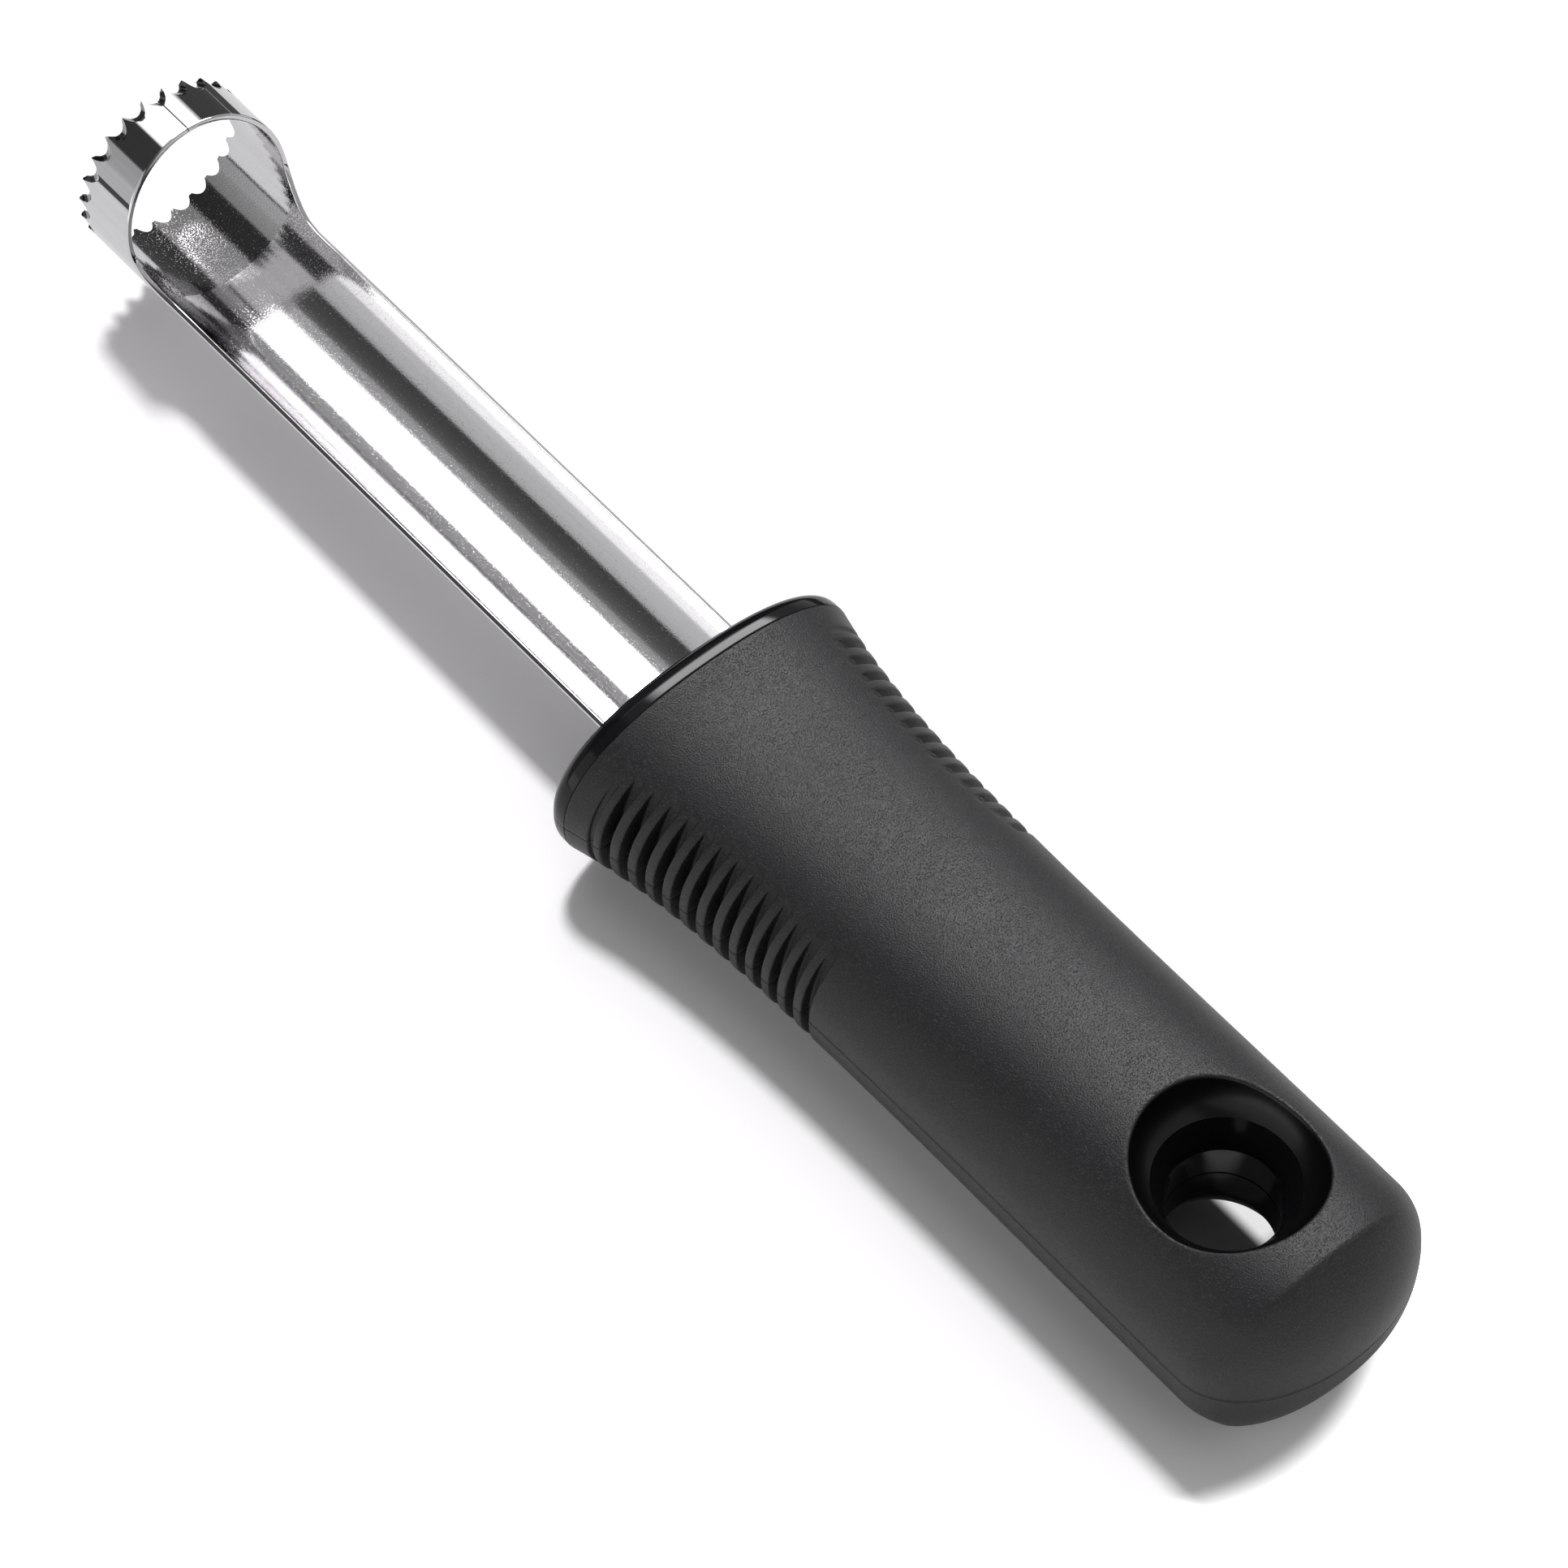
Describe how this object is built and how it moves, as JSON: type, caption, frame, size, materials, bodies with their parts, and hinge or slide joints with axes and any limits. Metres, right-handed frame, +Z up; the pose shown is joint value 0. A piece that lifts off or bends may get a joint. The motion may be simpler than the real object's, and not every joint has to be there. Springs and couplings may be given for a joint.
{
  "type": "apple corer",
  "caption": "Hand corer: a trough blade that closes into a toothed cutting ring, set in a rigid core under a soft finned grip with a hanging hole.",
  "frame": {"origin": "middle of the tool's length and width, on the level that the grip rests on", "axes": "+X along the tool from the handle to the cutting teeth, +Y across it to the left when looking along +X, +Z up through the open side of the trough"},
  "size_m": [0.1862, 0.038, 0.0299],
  "materials": {
    "steel": "polished ring, satin trough",
    "core_plastic": "glossy moulded black plastic",
    "grip_rubber": "matte, fine spark-eroded grain"
  },
  "bodies": {
    "root": {"blade": "steel", "handle_core": "core_plastic", "soft_grip": "grip_rubber"}
  },
  "joints": []
}
